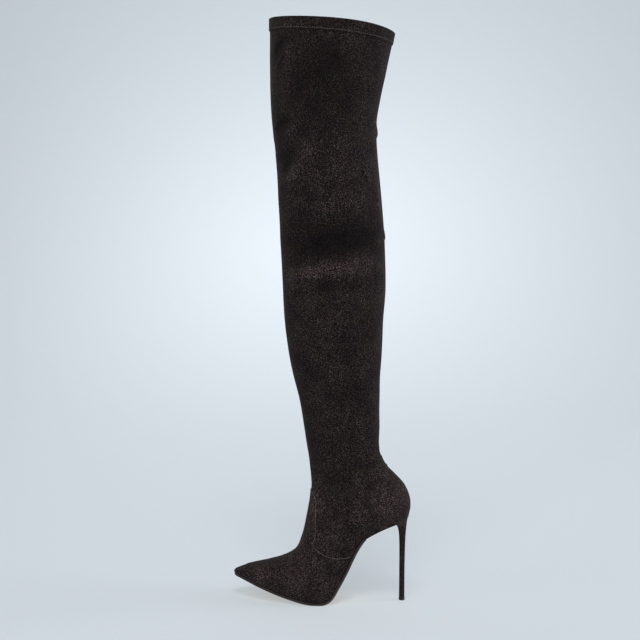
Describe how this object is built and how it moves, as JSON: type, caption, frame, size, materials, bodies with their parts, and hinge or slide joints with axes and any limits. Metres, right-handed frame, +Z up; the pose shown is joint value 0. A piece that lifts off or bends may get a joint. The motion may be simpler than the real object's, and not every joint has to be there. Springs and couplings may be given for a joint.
{
  "type": "thigh high boot",
  "caption": "Thigh high pull-on boot of dark stretch suede with a folded collar hem, a pointed toe, a tall tongued vamp and a slim covered stiletto heel.",
  "frame": {"origin": "middle of the flat spot that the forefoot treads on, on the floor", "axes": "+Z up along the leg, -X towards the toe, -Y towards the outer side of the left foot"},
  "size_m": [0.2275, 0.1422, 0.7315],
  "materials": {
    "suede": "very dark brown stretch suede with a short nap",
    "sole_leather": "black smooth sole leather",
    "sock_lining": "dark soft lining leather on insole board",
    "heel_suede": "very dark brown suede wrapped over a hard heel",
    "top_piece": "matt black"
  },
  "bodies": {
    "root": {"upper": "suede", "outsole": "sole_leather", "insole": "sock_lining", "heel": "heel_suede", "heel_tip": "top_piece"}
  },
  "joints": []
}
